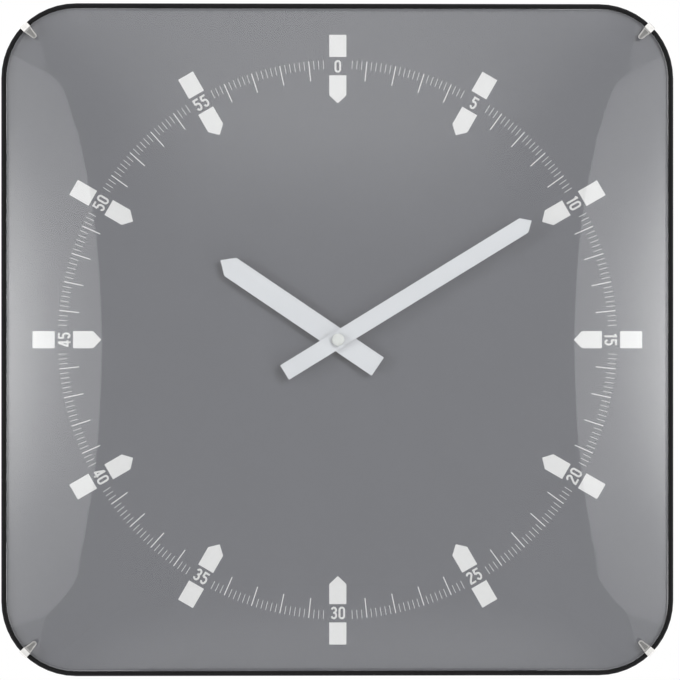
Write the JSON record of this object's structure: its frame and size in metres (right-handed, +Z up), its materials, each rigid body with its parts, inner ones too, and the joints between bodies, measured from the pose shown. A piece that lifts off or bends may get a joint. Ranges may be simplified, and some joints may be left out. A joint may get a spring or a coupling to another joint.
{
  "type": "wall clock",
  "caption": "Square wall clock with round corners, a clipped-on domed glass, a grey dial with printed minutes, two broad white hands and a battery quartz movement.",
  "frame": {"origin": "the seat of the nail at the top of the hanging slot, in the plane of the wall behind the case", "axes": "+X to the right seen from the front, +Y into the wall, +Z up towards twelve; the dial faces -Y"},
  "size_m": [0.35, 0.0468, 0.35],
  "materials": {
    "black_plastic": "satin moulded black plastic",
    "black_rubber": "dull black rubber",
    "clear_glass": "clear bent glass, polished",
    "dial_paint": "sheet painted satin grey, with white print",
    "white_paint": "sheet painted satin white",
    "nickel": "bright nickel plate",
    "zinc_steel": "zinc plated steel",
    "brass": "turned brass",
    "white_plastic": "white moulded plastic",
    "ivory_plastic": "natural moulded plastic",
    "red_plastic": "red moulded plastic",
    "dark_steel": "bare magnet steel",
    "copper": "enamelled copper wire",
    "green_board": "green lacquered board",
    "black_epoxy": "cured black resin",
    "battery_sleeve": "plain shrink sleeve over a steel can"
  },
  "bodies": {
    "clock_case": {"case_tray": "black_plastic", "edge_gasket": "black_rubber", "dial_plate": "dial_paint", "glass_dome": "clear_glass", "glass_clip_top_right": "nickel", "clip_screw_top_right": "zinc_steel", "glass_clip_top_left": "nickel", "clip_screw_top_left": "zinc_steel", "glass_clip_bottom_left": "nickel", "clip_screw_bottom_left": "zinc_steel", "glass_clip_bottom_right": "nickel", "clip_screw_bottom_right": "zinc_steel", "rubber_washer": "black_rubber", "nut_washer": "brass", "hex_nut": "brass", "movement_front_case": "black_plastic", "movement_rear_cover": "black_plastic", "bridge_plate": "ivory_plastic", "motor_stator": "dark_steel", "coil_bobbin": "white_plastic", "coil_winding": "copper", "circuit_board": "green_board", "chip_blob": "black_epoxy", "quartz_crystal": "zinc_steel", "plus_contact": "nickel", "minus_contact": "nickel"},
    "minute_hand_group": {"minute_arbor": "brass", "clutch_spring": "zinc_steel", "minute_hand": "white_paint", "hand_cap": "white_plastic"},
    "hour_hand_group": {"hour_wheel": "ivory_plastic", "hour_hand": "white_paint"},
    "minute_wheel_body": {"minute_wheel": "ivory_plastic"},
    "setting_knob_body": {"setting_knob": "white_plastic"},
    "motor_rotor_body": {"motor_rotor": "dark_steel"},
    "step_wheel_body": {"step_wheel": "red_plastic"},
    "second_wheel_body": {"second_wheel": "ivory_plastic"},
    "third_wheel_body": {"third_wheel": "ivory_plastic"},
    "centre_wheel_body": {"centre_wheel": "ivory_plastic"},
    "battery_body": {"battery": "battery_sleeve"}
  },
  "joints": [
    {"name": "minute_spin", "type": "hinge", "parent": "clock_case", "child": "minute_hand_group", "pos_m": [0, -0.015, -0.125], "axis": [0, 1, 0], "continuous": true},
    {"name": "hour_spin", "type": "hinge", "parent": "clock_case", "child": "hour_hand_group", "pos_m": [0, -0.015, -0.125], "axis": [0, 1, 0], "continuous": true},
    {"name": "minute_wheel_spin", "type": "hinge", "parent": "clock_case", "child": "minute_wheel_body", "pos_m": [-0.00816, -0.015, -0.1212], "axis": [0, 1, 0], "continuous": true},
    {"name": "setting_spin", "type": "hinge", "parent": "clock_case", "child": "setting_knob_body", "pos_m": [-0.00972, -0.015, -0.11233], "axis": [0, 1, 0], "continuous": true},
    {"name": "rotor_spin", "type": "hinge", "parent": "clock_case", "child": "motor_rotor_body", "pos_m": [0.00552, -0.015, -0.1135], "axis": [0, 1, 0], "continuous": true},
    {"name": "step_wheel_spin", "type": "hinge", "parent": "clock_case", "child": "step_wheel_body", "pos_m": [0.0036, -0.015, -0.11876], "axis": [0, 1, 0], "continuous": true},
    {"name": "second_wheel_spin", "type": "hinge", "parent": "clock_case", "child": "second_wheel_body", "pos_m": [0, -0.015, -0.125], "axis": [0, 1, 0], "continuous": true},
    {"name": "third_wheel_spin", "type": "hinge", "parent": "clock_case", "child": "third_wheel_body", "pos_m": [0.00816, -0.015, -0.1212], "axis": [0, 1, 0], "continuous": true},
    {"name": "centre_wheel_spin", "type": "hinge", "parent": "clock_case", "child": "centre_wheel_body", "pos_m": [0, -0.015, -0.125], "axis": [0, 1, 0], "continuous": true},
    {"name": "battery_slide", "type": "slide", "parent": "clock_case", "child": "battery_body", "axis": [0, 1, 0], "range_m": [0, 0.03]}
  ],
  "couplings": [
    {"joint": "hour_spin", "follows": "minute_spin", "ratio": 0.083333},
    {"joint": "minute_wheel_spin", "follows": "minute_spin", "ratio": -0.33333},
    {"joint": "setting_spin", "follows": "minute_spin", "ratio": 1},
    {"joint": "step_wheel_spin", "follows": "rotor_spin", "ratio": -0.16667},
    {"joint": "second_wheel_spin", "follows": "rotor_spin", "ratio": 0.033333},
    {"joint": "third_wheel_spin", "follows": "rotor_spin", "ratio": -0.0041667},
    {"joint": "centre_wheel_spin", "follows": "rotor_spin", "ratio": 0.00055556}
  ]
}
